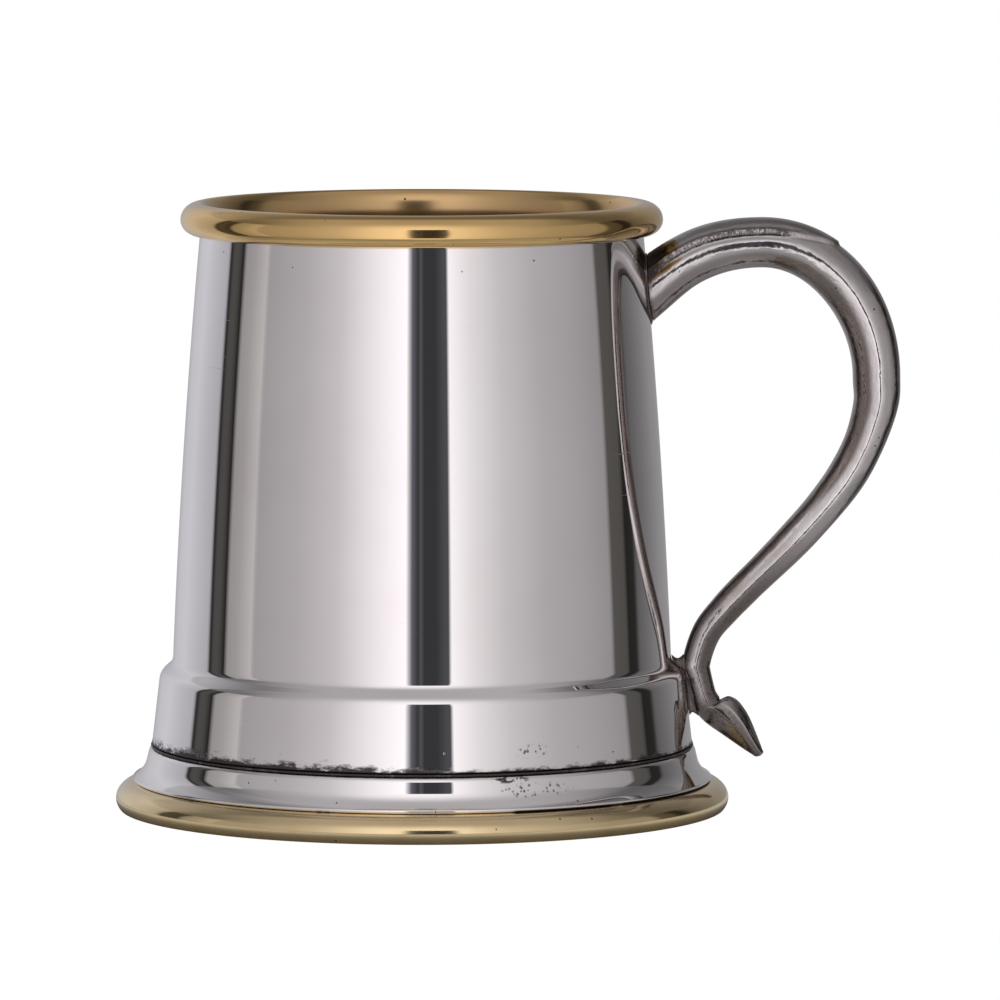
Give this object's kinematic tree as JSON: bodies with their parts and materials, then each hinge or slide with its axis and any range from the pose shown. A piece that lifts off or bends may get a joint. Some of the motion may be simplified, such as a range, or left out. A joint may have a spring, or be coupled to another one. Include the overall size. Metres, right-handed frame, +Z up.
{
  "type": "pewter mug",
  "caption": "Tapered pewter drinking mug with a stepped lower band, a brass rim ring and foot ring, and a cast scroll handle that ends in a pointed hoof tail.",
  "frame": {"origin": "on the table plane, under the middle of the footprint of barrel and handle together; the barrel's axis stands 15.75 mm towards -X", "axes": "+Z up out of the mouth, +X towards the handle, Y across the handle"},
  "size_m": [0.145, 0.1136, 0.1122],
  "materials": {
    "polished_pewter": "polished",
    "cast_pewter": "satin",
    "polished_brass": "polished",
    "oxidised_solder": "matte"
  },
  "bodies": {
    "root": {"barrel": "polished_pewter", "drinking_floor": "polished_pewter", "foot": "polished_pewter", "rim_ring": "polished_brass", "foot_ring": "polished_brass", "handle": "cast_pewter", "foot_solder": "oxidised_solder", "floor_solder": "oxidised_solder", "root_solder": "oxidised_solder", "seat_solder": "oxidised_solder"}
  },
  "joints": []
}
